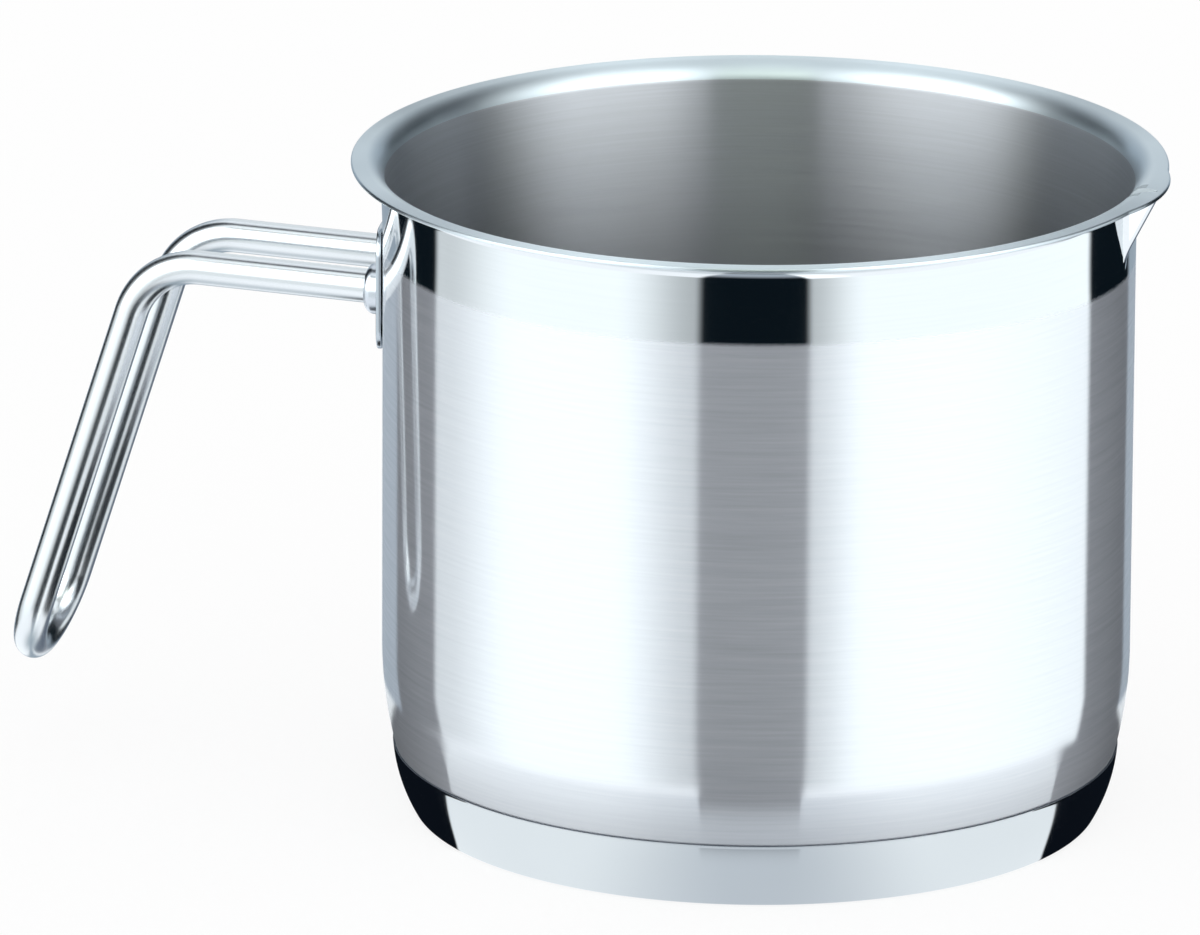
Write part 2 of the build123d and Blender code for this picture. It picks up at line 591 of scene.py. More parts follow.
def between(first: Points, last: Points, shares: Iterable[float]) -> Points:
    """Rows at given shares of the way from one row to another."""
    return first + (last - first) * np.array(list(shares))[:, None]


def unit(vector: Points) -> Points:
    """A vector's direction."""
    return vector / np.linalg.norm(vector)


def even_azimuths(count: int) -> Points:
    """Angles of a full turn."""
    return np.arange(count) * (2 * math.pi / count)


def smooth_max(first: Points, second: Points, blend: float) -> Points:
    """The larger of two fields, with a rounded crease where they cross.

    Args:
        first: One field.
        second: The other field.
        blend: Width of the crease.

    Returns:
        The joined field.
    """
    near = np.clip(blend - np.abs(first - second), 0.0, None)
    return np.maximum(first, second) + near**2 / (4 * blend)


def turn(radii: Points, heights: Points, azimuths: Points) -> Points:
    """Grid of points round the Z axis.

    Args:
        radii: Rows by columns of radii, or one column.
        heights: The height of each row.
        azimuths: The angle of each column, in radians.

    Returns:
        Rows by columns of points.
    """
    radii = np.broadcast_to(radii, (len(heights), len(azimuths)))
    levels = np.broadcast_to(heights[:, None], radii.shape)
    return np.stack([radii * np.cos(azimuths), radii * np.sin(azimuths), levels], -1)


def skin(name: str, grid: Points, around: bool = True, capped: bool = False) -> bpy.types.Object:
    """A smooth mesh over a grid of points.

    Args:
        name: The object's name.
        grid: Rows by columns of points in millimetres.
        around: Whether the last column joins the first.
        capped: Whether the first and the last row close to their middle points.

    Returns:
        The new object, linked to the scene.
    """
    rows, columns, _ = grid.shape
    vertices = [grid.reshape(-1, 3)]
    number = np.arange(rows * columns).reshape(rows, columns)
    right = np.roll(number, -1, 1) if around else number[:, 1:]
    left = number if around else number[:, :-1]
    faces = np.stack([left[:-1], right[:-1], right[1:], left[1:]], -1).reshape(-1, 4).tolist()
    if capped:
        for cap, (row, first, second) in enumerate(((0, right, left), (-1, left, right))):
            vertices.append(grid[row].mean(0, keepdims=True))
            middle = np.full(columns, rows * columns + cap)
            faces += np.stack([first[row], second[row], middle], 1).tolist()
    mesh = bpy.data.meshes.new(name)
    mesh.from_pydata((np.concatenate(vertices) * MM).tolist(), [], faces)
    mesh.validate()
    mesh.shade_smooth()
    made = bpy.data.objects.new(name, mesh)
    bpy.context.scene.collection.objects.link(made)
    return made


def adopt(piece: bpy.types.Object, node: str, finishes: Iterable[Finish]) -> None:
    """Dresses a piece, seats it on the body and lets it stand for its solid.

    Args:
        piece: The piece.
        node: The solid's node.
        finishes: The finishes that it takes, in order.
    """
    for finish in finishes:
        piece.data.materials.append(finish.material())
    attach(piece, BODY)
    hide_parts(node)
    LOG.info("%s: %d faces", piece.name, len(piece.data.polygons))


# The pan's pieces


@dataclass
class Vessel:
    """The drawn sheet: wall, floor, rolled lip and pressed beak.

    Angles are degrees, apart from the spout's half angle and the two spans between
    azimuths, which are radians.
    """

    radius: float = 71.0
    rim: float = 126.6
    floor: float = 6.0
    taper_height: float = 32.2
    taper_radius: float = 78.0
    knuckle_radius: float = 9.0
    lip_reach: float = 6.0
    edge_round: float = 0.3
    bend: float = 3.6
    flare_start: float = 108.0
    flare_rate: float = 0.0020
    beak_drop: float = 13.6
    beak_lean: float = 27.0
    beak_half_angle: float = 24.0
    beak_round: float = 1.4
    nose_reach: float = 1.37
    nose_half_width: float = 15.0
    crease: float = 1.4
    crease_inside: float = 0.8
    lip_depth: float = 3.0
    spout_half_angle: float = 0.055
    spout_rings: int = 12
    fine_span: float = 0.0009
    full_span: float = 0.0175
    span_growth: float = 1.05
    floor_rings: int = 38
    corner_rings: int = 26
    taper_rings: int = 30
    wall_rings: int = 13
    beak_rings: int = 29
    bend_rings: int = 43
    edge_rings: int = 6
    beak_lead: float = 2.5
    bend_lead: float = 8.0
    bend_crowding: float = 1.7
    flat_shares_below: tuple[float, ...] = (0.25, 0.5, 0.75, 1.0)
    flat_shares_above: tuple[float, ...] = (0.8, 0.6, 0.4, 0.2, 0.08, 0.02)

    @cached_property
    def azimuths(self) -> Points:
        """Angles round the pan, close together at the beak.

        Returns:
            Angles in radians, from 0 at the beak to a half turn and back on the other side.
        """
        close = np.arange(0.0, self.spout_half_angle, self.fine_span)
        growing = np.arange(math.log(self.full_span / self.fine_span) / math.log(self.span_growth))
        opening = close[-1] + np.cumsum(self.fine_span * self.span_growth**growing)
        left = math.pi - opening[-1]
        rest = np.linspace(opening[-1], math.pi, int(left / self.full_span) + 1)[1:]
        half = np.concatenate([close, opening, rest])
        return np.concatenate([half, -half[-2:0:-1]])

    def lip_edge(self) -> Points:
        """Radius of the lip's outline, with its swelling at the beak.

        Returns:
            One radius for each angle.
        """
        outer = self.radius + self.lip_reach
        chord = math.sqrt(outer**2 - self.nose_half_width**2)
        rise = outer + self.nose_reach - chord
        curve = (self.nose_half_width**2 + rise**2) / (2 * rise)
        middle = chord + rise - curve
        cos, sin = np.cos(self.azimuths), np.sin(self.azimuths)
        inside = curve**2 - (middle * sin) ** 2
        nose = middle * cos + np.sqrt(np.clip(inside, 0.0, None))
        near = (np.abs(sin) * outer < self.nose_half_width) & (cos > 0)
        return np.where(near, np.maximum(nose, outer), outer)

    def beak(self, heights: Points, inset: float) -> Points:
        """Radius of the beak's rounded V.

        Args:
            heights: Column of heights.
            inset: How far inside the outer surface.

        Returns:
            Rows by columns of radii, and zero on the handle's side.
        """
        lean, half = math.radians(self.beak_lean), math.radians(self.beak_half_angle)
        rounding = self.beak_round - inset
        across = math.sin(half) * math.cos(lean)
        across /= math.hypot(math.cos(lean), math.sin(lean) * math.sin(half))
        ridge = self.radius + (heights - self.rim + self.beak_drop) * math.tan(lean)
        point = ridge + self.beak_round * (1 / math.sin(half) - 1) - inset / across
        cos, sin = np.cos(self.azimuths), np.abs(np.sin(self.azimuths))
        flank = point * math.tan(half) / (sin + np.clip(cos, 0.0, None) * math.tan(half))
        middle = point - rounding / math.sin(half)
        under = rounding**2 - (middle * sin) ** 2
        nose = middle * cos + np.sqrt(np.clip(under, 0.0, None))
        tangent = np.arctan2(rounding * math.cos(half), middle + rounding * math.sin(half))
        on_nose = (np.arcsin(np.clip(sin, 0, 1)) < tangent) & (cos > 0)
        return np.where(cos > 0, np.where(on_nose, nose, flank), 0.0)

    def wall(self, heights: Points, inset: float) -> Points:
        """Radius of the wall between the taper and the lip's flat.

        Args:
            heights: Heights of the rows.
            inset: 0 for the outside, the sheet's thickness for the inside.

        Returns:
            Rows by columns of radii.
        """
        column = heights[:, None]
        bend = self.bend - SHEET + inset
        flat = self.rim - SHEET + inset
        climb = np.clip(column - (flat - bend), 0.0, bend)
        flare = self.flare_rate * np.clip(column - self.flare_start, 0.0, None) ** 2
        plain = self.radius - inset + flare + bend - np.sqrt(np.clip(bend**2 - climb**2, 0.0, None))
        return smooth_max(plain, self.beak(column, inset), self.crease_inside if inset else self.crease)

    def lower_profile(self, inset: float) -> Points:
        """Half outline from the floor's centre to the start of the straight wall.

        Args:
            inset: 0 for the outside, the sheet's thickness for the inside.

        Returns:
            Rows of radius and height.
        """
        reach = self.taper_radius - self.knuckle_radius
        lean = math.asin((self.taper_height - self.floor - self.knuckle_radius) / reach)
        middle = (self.radius - self.taper_radius, self.taper_height)
        knuckle = (middle[0] + reach * math.cos(lean), middle[1] - reach * math.sin(lean))
        across = np.linspace(0.0, knuckle[0], self.floor_rings + 2)[1:-1]
        flat = np.stack([across, np.full_like(across, self.floor + inset)], 1)
        low = -math.degrees(lean)
        corner = arc(knuckle, self.knuckle_radius - inset, -90, low, self.corner_rings)
        taper = arc(middle, self.taper_radius - inset, low, 0, self.taper_rings)[1:]
        return np.concatenate([flat, corner, taper])

    def wall_heights(self, top: float) -> Points:
        """Heights of the wall's rows, close together under the lip.

        Args:
            top: Height of the last row.

        Returns:
            Sorted heights above the taper.
        """
        beak_start = self.rim - self.beak_drop - self.beak_lead
        bend_start = self.rim - self.bend_lead
        low = np.linspace(self.taper_height, beak_start, self.wall_rings + 1)[1:]
        middle = np.linspace(beak_start, bend_start, self.beak_rings + 1)[1:]
        share = np.linspace(1.0, 0.0, self.bend_rings + 1)[1:] ** self.bend_crowding
        return np.concatenate([low, middle, top - (top - bend_start) * share])

    def outside_grid(self) -> Points:
        """Rows from the middle of the underside up to the lip's bend.

        Returns:
            Rows by columns of points.
        """
        low, heights = self.lower_profile(0.0), self.wall_heights(self.rim - SHEET)
        foot = turn(low[:, :1], low[:, 1], self.azimuths)
        return np.concatenate([foot, turn(self.wall(heights, 0.0), heights, self.azimuths)])

    def inside_grids(self) -> tuple[Points, Points]:
        """Rows from the lip's flat down to the middle of the floor.

        Returns:
            The rows that have the lip's finish, and the others.
        """
        low, heights = self.lower_profile(SHEET)[::-1], self.wall_heights(self.rim)[::-1]
        walls = turn(self.wall(heights, SHEET), heights, self.azimuths)
        lip_rows = int(np.sum(heights >= self.rim - self.lip_depth))
        floor = turn(low[:, :1], low[:, 1], self.azimuths)
        return walls[:lip_rows], np.concatenate([walls[lip_rows:], floor])

    def flat_grid(self, outer: Points, inner: Points) -> Points:
        """Rows of the lip's flat: out below it, round its edge and back above it.

        Args:
            outer: Last row of points of the outside.
            inner: First row of points of the inside.

        Returns:
            Rows by columns of points.
        """
        edge, under = self.edge_round, self.rim - SHEET
        outline = self.lip_edge() - edge
        below = between(np.hypot(outer[:, 0], outer[:, 1]), outline, self.flat_shares_below)
        above = between(np.hypot(inner[:, 0], inner[:, 1]), outline, self.flat_shares_above)
        rounds = [
            arc((0.0, under + edge), edge, -90, 0, self.edge_rings),
            arc((0.0, self.rim - edge), edge, 0, 90, self.edge_rings),
        ]
        swept = np.concatenate(rounds)
        return np.concatenate(
            [
                turn(below, np.full(len(below), under), self.azimuths),
                turn(outline + swept[:, :1], swept[:, 1], self.azimuths),
                turn(above, np.full(len(above), self.rim), self.azimuths),
            ]
        )

    def build(self) -> None:
        """Makes the vessel."""
        outside = self.outside_grid()
        lip_inside, inside = self.inside_grids()
        flat = self.flat_grid(outside[-1], lip_inside[0])
        piece = skin("vessel", np.concatenate([outside, flat, lip_inside, inside]), capped=True)
        # Painted shade: darker steel inside the beak, laid over a bright reflection there.
        spout = Steel("spout_painted_shade_steel", colour=(0.48, 0.53, 0.56), polish=0.5)
        adopt(piece, "pan_body", [self.outside(), self.lip(), self.inside(), spout])
        spout_row = len(outside) + len(flat)
        inside_row = spout_row + len(lip_inside)
        marks = np.zeros((inside_row + len(inside) - 1, len(self.azimuths)), dtype=np.int32)
        marks[len(outside) :] = VesselFace.LIP
        marks[inside_row:] = VesselFace.INSIDE
        at_beak = np.abs(self.azimuths) < self.spout_half_angle
        marks[spout_row : inside_row + self.spout_rings, at_beak] = VesselFace.SPOUT_SHADE
        caps = np.repeat([VesselFace.OUTSIDE, VesselFace.INSIDE], len(self.azimuths))
        every = np.concatenate([marks.ravel(), caps.astype(np.int32)])
        piece.data.polygons.foreach_set("material_index", every)

    def outside(self) -> Steel:
        """Satin steel with a polished band under the lip, darkened near the foot by painted shade.

        Returns:
            The finish.
        """
        return BandedSteel(
            "brushed_vessel_steel",
            satin=0.08,
            anisotropy=0.4,
            haze=0.31,
            haze_colour=(0.84, 0.85, 0.90),
            streaks=0.05,
            # Painted shade near the foot, for the dim floor that the foot mirrors there.
            painted_shade_step=(0.012, 0.026),
            painted_shade_depth=0.28,
            painted_shade_haze=0.18,
        )

    def lip(self) -> Steel:
        """Finely turned steel of the rolled lip."""
        return Steel("turned_lip_steel", colour=(0.69, 0.77, 0.81), polish=0.26, anisotropy=1.0)

    def inside(self) -> Steel:
        """Turned satin steel of the inside, with painted shade: darker than the outside, and darker
        still lower down.

        Returns:
            The finish.
        """
        return Steel(
            "turned_inside_painted_shade_steel",
            # Painted shade: a darker colour than the outside's, for the shade inside the pan.
            colour=(0.60, 0.62, 0.655),
            satin=0.30,
            anisotropy=1.0,
            haze=0.05,
            haze_colour=(0.66, 0.70, 0.66),
            streaks=0.08,
            wear=0.20,
            # Painted shade that grows from 112 mm down to 84 mm, deeper in the pan.
            painted_shade_step=(0.084, 0.112),
            painted_shade_depth=0.42,
            streak_pitch=0.0005,
            streak_length=0.030,
        )


@dataclass
class BaseCap:
    """The polished capsule under the vessel."""

    vessel: Vessel
    height: float = 12.9
    step: float = 0.35
    foot_inset: float = 6.2
    foot_round: float = 1.1
    bulge: float = 0.8
    rim_round: float = 0.15
    wall: float = 0.5
    lap_gap: float = 0.05
    shoulder: Pair = (0.6, 2.0)
    heel: Pair = (1.0, 0.5)
    floor_inset: float = 2.0
    columns: int = 360
    floor_rings: int = 28
    corner_rings: int = 14
    side_rings: int = 26
    rim_rings: int = 6
    inner_rings: int = 3

    def profile(self) -> tuple[Points, Points, Points]:
        """Half outline of the capsule, from the middle of the underside round to the inside.

        Returns:
            Rows of radius and height of the shown skin, of its rim, and of the hidden inside.
        """
        fall = self.vessel.taper_height - self.height
        taper = self.vessel.taper_radius
        lap = self.vessel.radius - taper + math.sqrt(taper**2 - fall**2)
        rim, foot = lap + self.step, self.vessel.radius - self.foot_inset
        chord = math.hypot(rim - foot, self.height)
        radius = (chord**2 / 4 + self.bulge**2) / (2 * self.bulge)
        across = np.array([self.height, foot - rim]) / chord
        middle = np.array([(rim + foot) / 2, self.height / 2]) - across * (radius - self.bulge)
        top = math.degrees(math.atan2(self.height - self.rim_round - middle[1], rim - middle[0]))
        inner = radius - self.foot_round
        foot_centre = middle[0] + math.sqrt(inner**2 - (self.foot_round - middle[1]) ** 2)
        low = math.degrees(math.atan2(self.foot_round - middle[1], foot_centre - middle[0]))
        out = np.linspace(0, foot_centre, self.floor_rings + 2)[1:-1]
        shown = np.concatenate(
            [
                np.stack([out, np.zeros_like(out)], 1),
                arc((foot_centre, self.foot_round), self.foot_round, -90, low, self.corner_rings),
                arc(tuple(middle), radius, low, top, self.side_rings)[1:],
            ]
        )
        seat = (rim - self.rim_round, self.height - self.rim_round)
        inward = [
            (lap - self.lap_gap, self.height),
            (lap - self.shoulder[0], self.height - self.shoulder[1]),
            (foot - self.heel[0], self.wall + self.heel[1]),
        ]
        back = np.linspace(foot - self.floor_inset, 0, self.inner_rings + 1)[:-1]
        hidden = np.concatenate([np.array(inward), np.stack([back, np.full_like(back, self.wall)], 1)])
        return shown, arc(seat, self.rim_round, 0, 90, self.rim_rings), hidden

    def build(self) -> None:
        """Makes the capsule."""
        shown, rim, hidden = self.profile()
        outline = np.concatenate([shown, rim, hidden])
        grid = turn(outline[:, :1], outline[:, 1], even_azimuths(self.columns))
        piece = skin("base_capsule", grid, capped=True)
        # Painted shadow: dark steel on the rim's round and its step to the vessel, for the shadow in
        # the crevice there.
        seam = Steel("seam_shadow_steel", colour=(0.10, 0.115, 0.14), polish=0.45)
        adopt(piece, "base_cap", [Steel("polished_capsule_steel", polish=0.06), seam])
        marks = np.full(len(piece.data.polygons), CapFace.POLISHED, dtype=np.int32)
        first = (len(shown) + 1) * self.columns
        marks[first : first + (len(rim) + 1) * self.columns] = CapFace.SEAM
        piece.data.polygons.foreach_set("material_index", marks)


@dataclass
class Handle:
    """Bent rod, its two collars and the saddle bracket."""

    vessel: Vessel
    plate_gap: float = 0.4
    plate_sheet: float = 1.0
    rod_radius: float = 3.25
    rod_root: float = 0.6
    leg_offset: float = 11.9
    drop: float = 27.6
    rise: float = 1.4
    leg_length: float = 44.8
    drop_angle: float = 17.9
    clearance: float = 16.3
    bend_radius: float = 14.0
    root_shares: tuple[float, ...] = (0.0, 0.005, 0.01, 0.02, 0.04)
    level_shares: Pair = (0.08, 0.885)
    level_rings: int = 8
    bend_rings: int = 49
    down_rings: int = 12
    loop_rings: int = 63
    columns: int = 96
    collar_radius: float = 4.9
    collar_length: float = 2.0
    collar_round: float = 1.6
    collar_rings: int = 16
    collar_sag: float = 0.3
    seam_width: float = 0.02
    seam_drop: float = 0.005
    seam_depth: float = 0.05
    plate_width: float = 34.6
    plate_height: float = 23.6
    plate_corner: float = 5.0
    plate_edge: float = 0.25
    plate_shares: Pair = (0.02, 0.93)
    plate_rings: int = 70
    edge_rings: int = 7
    corner_points: int = 28
    long_side_points: int = 58
    short_side_points: int = 30
    pad_across: float = 11.5
    pad_up: float = 8.6
    dimple_floor: float = 0.9
    dimple_slope: float = 1.2
    dimple_depth: float = 0.32

    @property
    def face(self) -> float:
        """Radius of the bracket's outer face."""
        return self.vessel.radius + self.plate_gap + self.plate_sheet

    @property
    def height(self) -> float:
        """Height of the bracket's middle and of the rod's ends."""
        return self.vessel.rim - self.drop

    def leg_axis(self) -> tuple[Points, Points, Points]:
        """Axis of a leg in the XZ plane.

        Returns:
            Its end in the bracket, its corner and its lower end.
        """
        climb = math.tan(math.radians(self.rise))
        lean = math.radians(self.drop_angle)
        start = np.array([self.rod_root - self.face, 0.0, self.height - self.rod_root * climb])
        corner = np.array([-self.face - self.leg_length, 0.0, self.height + self.leg_length * climb])
        fall = corner[2] - self.clearance - self.rod_radius
        length = fall / math.cos(lean) - self.leg_offset
        return start, corner, corner - length * np.array([math.sin(lean), 0.0, math.cos(lean)])

    def leg_path(self) -> tuple[Points, Points, Points]:
        """Centre line of one leg, from the bracket round its bend and down.

        Returns:
            Points in the XZ plane, the direction at each, and the last direction.
        """
        start, corner, low = self.leg_axis()
        level, down = unit(corner - start), unit(low - corner)
        square = unit(down - level * float(level @ down))
        turned = math.acos(float(level @ down))
        bend_start = corner - level * self.bend_radius * math.tan(turned / 2)
        centre = bend_start + square * self.bend_radius
        level_shares = [*self.root_shares, *np.linspace(*self.level_shares, self.level_rings)]
        angles = np.linspace(0, turned, self.bend_rings)[:, None]
        bend = centre + (level * np.sin(angles) - square * np.cos(angles)) * self.bend_radius
        down_shares = np.linspace(0, 1, self.down_rings + 1)[1:]
        points = [between(start, bend_start, level_shares), bend, between(bend[-1], low, down_shares)]
        ways = [
            np.tile(level, (len(level_shares), 1)),
            level * np.cos(angles) + square * np.sin(angles),
            np.tile(down, (len(down_shares), 1)),
        ]
        return np.concatenate(points), np.concatenate(ways), down

    def rod_path(self) -> tuple[Points, Points, Points]:
        """Centre line of the whole rod: near leg, loop and far leg.

        Returns:
            Points, their directions, and a side direction for each.
        """
        leg, ways, down = self.leg_path()
        sides = np.tile(ACROSS, (len(leg), 1))
        angles = np.linspace(0, math.pi, self.loop_rings + 2)[1:-1, None]
        cos, sin = np.cos(angles), np.sin(angles)
        loop = leg[-1] + (down * sin - ACROSS * cos) * self.leg_offset
        near = leg + ACROSS * Side.NEAR.value * self.leg_offset
        far = leg + ACROSS * Side.FAR.value * self.leg_offset
        path = np.concatenate([near, loop, far[::-1]])
        directions = np.concatenate([ways, ACROSS * sin + down * cos, -ways[::-1]])
        crosswise = np.concatenate([sides, ACROSS * cos - down * sin, -sides])
        return path, directions, crosswise

    def build_rod(self) -> None:
        """Makes the rod."""
        path, ways, sides = self.rod_path()
        ups = np.cross(ways, sides)
        angle = even_azimuths(self.columns)[:, None]
        ring = sides[:, None] * np.cos(angle) + ups[:, None] * np.sin(angle)
        piece = skin("handle_bar", path[:, None] + ring * self.rod_radius, capped=True)
        adopt(piece, "handle_rod", [Steel("polished_rod_steel", polish=0.17)])

    def build_collar(self, side: Side) -> None:
        """Makes the domed ring round one rod end.

        Args:
            side: Which leg it belongs to.
        """
        start, corner, _ = self.leg_axis()
        out = unit(corner - start)
        up = np.cross(out, ACROSS)
        seat = math.sqrt(self.face**2 - self.leg_offset**2)
        place = np.array([-seat, side.value * self.leg_offset, self.height])
        flat, top = self.collar_radius - self.collar_round, self.collar_length - self.collar_round
        dome = arc((flat, top), self.collar_round, 0, 90, self.collar_rings)
        seam = [
            (self.rod_radius + self.seam_width, self.collar_length - self.seam_drop),
            (self.rod_radius, self.collar_length - self.seam_depth),
        ]
        profile = np.concatenate([[(self.collar_radius, 0.0)], dome, seam])
        radii, heights = profile[:, 0, None, None], profile[:, 1, None, None]
        angle = even_azimuths(self.columns)[:, None]
        grid = place + (ACROSS * np.cos(angle) + up * np.sin(angle)) * radii + out * heights
        width = self.collar_radius - self.rod_radius
        grid[..., 2] -= self.collar_sag * np.clip((radii[..., 0] - self.rod_radius) / width, 0, 1)
        outer = self._seated(grid[0])
        inner = self._seated(grid[-1] - out * self.collar_length)
        word = side.name.lower()
        piece = skin(f"handle_boss_{word}", np.concatenate([[outer], grid[1:], [inner], [outer]]))
        # Painted shade: the collar's steel is darker than the rest's, for the dark reflections on it.
        finish = Steel(f"polished_boss_painted_shade_steel_{word}", colour=(0.60, 0.64, 0.69), polish=0.16)
        adopt(piece, f"handle_collar_{word}", [finish])

    def _seated(self, ring: Points) -> Points:
        """Moves a ring of points along X into the bracket's sheet.

        Args:
            ring: The points.

        Returns:
            The moved points.
        """
        depth = self.face - self.plate_sheet / 2
        seated = ring.copy()
        seated[:, 0] = -np.sqrt(depth**2 - ring[:, 1] ** 2)
        return seated

    def build_bracket(self) -> None:
        """Makes the saddle plate with its four weld dimples."""
        edge, sheet = self.plate_edge, self.plate_sheet
        turns = np.radians(np.linspace(90, 0, self.edge_rings))
        half = [(share, 0.0, 0.0) for share in np.linspace(*self.plate_shares, self.plate_rings)]
        half += [(1.0, edge * (1 - math.cos(t)), edge * (1 - math.sin(t))) for t in turns]
        rings = [(share, inset, sheet - depth) for share, inset, depth in half] + half[::-1]
        rows = []
        for share, inset, level in rings:
            outline = self._plate_outline(inset) * share
            spots = np.abs(outline) - np.array([self.pad_across, self.pad_up])
            away = np.hypot(spots[:, 0], spots[:, 1])
            press = 1 - np.clip((away - self.dimple_floor) / self.dimple_slope, 0, 1)
            press = press * press * (3 - 2 * press)
            depth = press * (self.dimple_depth if level > sheet / 2 else self.plate_gap)
            radius = self.vessel.radius + self.plate_gap + level - depth
            x = -np.sqrt(radius**2 - outline[:, 0] ** 2)
            rows.append(np.stack([x, outline[:, 0], self.height + outline[:, 1]], 1))
        piece = skin("handle_saddle", np.array(rows), capped=True)
        # Painted shade: the plate's steel is darker than the rest's, for the darker reflections on it.
        finish = Steel("polished_saddle_painted_shade_steel", colour=(0.50, 0.55, 0.60), polish=0.16)
        adopt(piece, "handle_bracket", [finish])

    def _plate_outline(self, inset: float) -> Points:
        """Outline of the flat plate as rows of across and up.

        Args:
            inset: How far inside the true outline.

        Returns:
            Points round the outline, even along each side.
        """
        wide = self.plate_width / 2 - self.plate_corner
        tall = self.plate_height / 2 - self.plate_corner
        radius = self.plate_corner - inset
        centres = ((wide, tall), (-wide, tall), (-wide, -tall), (wide, -tall))
        corners = [
            arc(centre, radius, 90 * step, 90 * step + 90, self.corner_points)
            for step, centre in enumerate(centres)
        ]
        counts = (self.long_side_points, self.short_side_points) * 2
        points = []
        for corner, following, count in zip(corners, corners[1:] + corners[:1], counts):
            points += [corner, between(corner[-1], following[0], np.linspace(0, 1, count + 2)[1:-1])]
        return np.concatenate(points)

    def build(self) -> None:
        """Makes every piece of the handle."""
        self.build_bracket()
        self.build_rod()
        for side in Side:
            self.build_collar(side)


# The studio


@dataclass(frozen=True)
class MirroredRoom:
    """The studio as the steel mirrors it, by direction from the pan in degrees.

    Two light panels stand left and right of a dark gap at the camera, a roof light hangs
    over them, and a grey backdrop stands behind the pan. Below the horizon is the floor.
    """

    around: Signal
    height: Signal
    left_panel: Span = (-119.5, -116.0, -20.5, -17.0)
    left_far_fade: Pair = (-112.0, -80.0)
    left_far_level: float = 0.62
    left_near_fade: Pair = (-46.0, -18.0)
    left_near_level: float = 0.45
    middle: Span = (-20.5, -17.0, 13.5, 16.5)
    right_panel: Span = (13.5, 16.5, 119.5, 123.0)
    right_near_fade: Pair = (14.0, 34.0)
    right_near_level: float = 0.5
    panel_top: Pair = (57.0, 60.0)
    corners: Span = (50.0, 75.0, 112.0, 118.0)
    corner_low: Pair = (20.0, 40.0)
    before_sides: Span = (-116.0, -74.0, 62.0, 108.0)
    side_top: Pair = (38.0, 46.0)
    roof: Pair = (61.5, 65.0)
    roof_loss: float = 0.8
    bright: Span = (-6.0, 8.0, 45.0, 60.0)
    panel_colour: Colour = (1.23, 1.30, 1.33)
    panel_high: Colour = (3.20, 3.30, 3.30)
    panel_side: Colour = (0.14, 0.15, 0.17)
    gap_lit: Span = (11.0, 31.0, 45.0, 58.0)
    gap_colour: Colour = (0.004, 0.008, 0.012)
    gap_high: Colour = (2.00, 2.15, 1.95)
    before_back: Span = (-149.0, -145.0, 153.0, 158.0)
    back_climb: Pair = (0.0, 62.0)
    back_low: Colour = (0.34, 0.41, 0.48)
    back_high: Colour = (1.10, 1.15, 1.20)
    white_turn: Pair = (169.0, 177.0)
    white_low: Pair = (-4.0, 6.0)
    white_back: Colour = (0.88, 0.93, 0.96)
    floor_colour: Colour = (1.18, 1.22, 1.26)
    front_fade: Pair = (-60.0, -29.0)
    floor_front: Colour = (0.45, 0.50, 0.56)
    patch: Span = (8.0, 11.0, 26.0, 32.0)
    patch_far: Pair = (-36.0, -33.0)
    floor_bright: Colour = (1.60, 1.66, 1.68)
    dim: Span = (104.0, 122.0, 158.0, 166.0)
    dim_near: Pair = (-80.0, -62.0)
    floor_side: Colour = (0.14, 0.17, 0.22)
    deep_fade: Pair = (-88.0, -50.0)
    floor_deep: Colour = (0.42, 0.50, 0.56)
    floor_back: Pair = (166.0, 176.0)
    horizon_turn: Pair = (60.0, 110.0)
    horizon_front: float = -29.0
    horizon_side: float = -24.0
    horizon_blur: float = 2.5

    @cached_property
    def gap(self) -> Signal:
        """Mask of the dark gap between the panels."""
        return self.around.within(self.middle)

    @cached_property
    def sides(self) -> Signal:
        """Mask of the room's far sides and of all behind."""
        return 1.0 - self.around.within(self.before_sides)

    def colour(self) -> Signal:
        """The room above its horizon and the floor below.

        Returns:
            The colour.
        """
        room = self._lights().mix(self._backdrop(), self._glow())
        horizon = abs(self.around).ramp(*self.horizon_turn, self.horizon_front, self.horizon_side)
        below = (self.height - horizon).fall(-self.horizon_blur, self.horizon_blur)
        return below.mix(room, self._floor())

    def _lights(self) -> Signal:
        """Where the two panels, their far corners and the roof light are.

        Returns:
            Their level.
        """
        around, height = self.around, self.height
        left = around.ramp(*self.left_near_fade, 1.0, self.left_near_level)
        left = left * around.ramp(*self.left_far_fade, self.left_far_level, 1.0)
        right = around.ramp(*self.right_near_fade, self.right_near_level, 1.0)
        panels = left * around.within(self.left_panel) + right * around.within(self.right_panel)
        corners = abs(around).within(self.corners) * height.ramp(*self.corner_low)
        above = height.ramp(*self.roof) * (1.0 - self.sides * self.roof_loss)
        lit = (panels * height.fall(*self.panel_top)).maths("MAXIMUM", corners)
        return lit.maths("MAXIMUM", above)

    def _glow(self) -> Signal:
        """Light of the panels: brightest at middle heights, and dark on the far sides.

        Returns:
            The colour.
        """
        high = self.sides.mix(self.panel_high, self.panel_side)
        glow = self.height.within(self.bright).mix(self.panel_colour, high)
        return (self.sides * self.height.ramp(*self.side_top)).mix(glow, self.panel_side)

    def _backdrop(self) -> Signal:
        """What stands between the panels: the gap at the camera and the backdrop behind.

        Returns:
            The colour.
        """
        behind = 1.0 - self.around.within(self.before_back)
        grey = self.height.ramp(*self.back_climb).mix(self.back_low, self.back_high)
        white = abs(self.around).ramp(*self.white_turn) * self.height.ramp(*self.white_low)
        lit_gap = self.gap * self.height.within(self.gap_lit)
        gap = lit_gap.mix(self.gap_colour, self.gap_high)
        return behind.mix(gap, white.mix(grey, self.white_back))

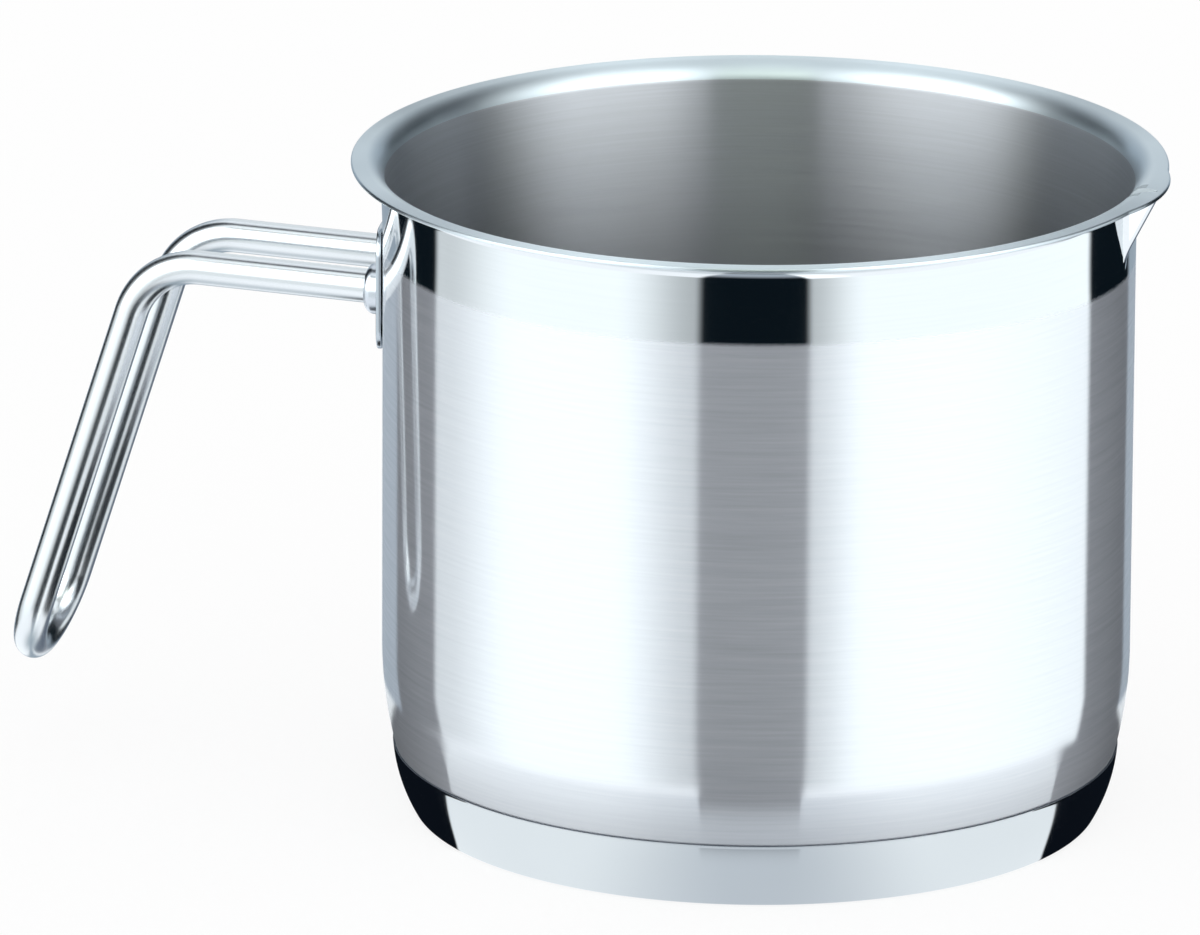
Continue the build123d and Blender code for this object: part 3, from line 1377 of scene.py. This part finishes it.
    def _floor(self) -> Signal:
        """The floor further out than the pale disc at the foot.

        Returns:
            The colour.
        """
        around, height = self.around, self.height
        front = height.ramp(*self.front_fade).mix(self.floor_front, self.gap_colour)
        bright = around.within(self.patch) * height.fall(*self.patch_far)
        pale = self.gap.mix(bright.mix(self.floor_colour, self.floor_bright), front)
        dim = around.within(self.dim) * height.ramp(*self.dim_near)
        pale = dim.mix(pale, self.floor_side)
        near = height.ramp(*self.deep_fade).mix(self.floor_deep, pale)
        return abs(around).ramp(*self.floor_back).mix(near, self.back_low)


@dataclass
class Studio:
    """White room with a pale floor and the long-lens camera."""

    heading: float = 16.0
    pitch: float = 16.34
    roll: float = 0.305
    distance: float = 2935.6
    lens: float = 465.2
    sensor: float = 36.0
    far_clip: float = 100.0
    aim: Pair = (-29.8, 66.0)
    floor_half: float = 6000.0
    floor_points: int = 5
    floor_gap: float = 0.05

    def build_camera(self) -> None:
        """Puts the camera where the photograph was taken from."""
        turn_by, tilt, roll = (math.radians(angle) for angle in (self.heading, self.pitch, self.roll))
        right = Vector((math.cos(turn_by), math.sin(turn_by), 0.0))
        level_back = Vector((math.sin(turn_by), -math.cos(turn_by), 0.0))
        back = level_back * math.cos(tilt) + Vector((0.0, 0.0, math.sin(tilt)))
        level = right * math.cos(roll) + back.cross(right) * math.sin(roll)
        above = back.cross(level)
        aim = right * self.aim[0] + Vector((0.0, 0.0, self.aim[1]))
        place = (aim + back * self.distance) * MM
        data = bpy.data.cameras.new("photo_camera")
        data.lens = self.lens
        data.sensor_width = self.sensor
        data.clip_end = self.far_clip
        camera = bpy.data.objects.new("photo_camera", data)
        rows = [[level[i], above[i], back[i], place[i]] for i in range(3)]
        camera.matrix_world = Matrix([*rows, [0, 0, 0, 1]])
        bpy.context.scene.collection.objects.link(camera)
        bpy.context.scene.camera = camera

    def build_floor(self) -> None:
        """Lays the pale floor a hair below the pan."""
        across = np.linspace(-self.floor_half, self.floor_half, self.floor_points)
        x, y = np.meshgrid(across, across, indexing="xy")
        floor = skin("floor", np.stack([x, y, np.full_like(x, -self.floor_gap)], -1), around=False)
        floor.data.materials.append(PaleFloor("pale_floor", self.heading).material())

    def build_light(self) -> None:
        """Lights the room: white to the camera, panels and dark gaps to the steel."""
        world = bpy.data.worlds.new("studio")
        bpy.context.scene.world = world
        world.use_nodes = True
        world.cycles.sampling_method = "NONE"
        graph = Graph(world.node_tree)
        direction = graph.node("ShaderNodeTexCoord", output="Generated")
        right, front, up = direction.camera_parts(self.heading)
        around = right.maths("ARCTAN2", front) * math.degrees(1.0)
        height = up.maths("ARCSINE") * math.degrees(1.0)
        glossy = graph.node("ShaderNodeLightPath", output="Is Glossy Ray")
        colour = glossy.mix((1.0, 1.0, 1.0), MirroredRoom(around, height).colour())
        light = graph.glow("ShaderNodeBackground", colour)
        graph.node("ShaderNodeOutputWorld", {}, {"Surface": light})

    def build(self) -> None:
        """Makes the floor, the light and the camera."""
        self.build_floor()
        self.build_light()
        self.build_camera()
        bpy.context.scene.view_settings.view_transform = "Standard"


def plain(corners: Any) -> list[list[float]]:
    """Two corners as lists of numbers."""
    return [[float(part) for part in corner] for corner in corners]


def main() -> None:
    """Builds the pan and its studio."""
    logging.basicConfig(level=logging.INFO)
    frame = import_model()
    core = frame["nodes"]["base_core"]
    core.data.materials.clear()
    core.data.materials.append(Aluminium("core_aluminium").material())
    LOG.info("base_core: %d faces", len(core.data.polygons))
    vessel = Vessel()
    vessel.build()
    BaseCap(vessel).build()
    Handle(vessel).build()
    Studio().build()


if __name__ == "__main__":
    main()
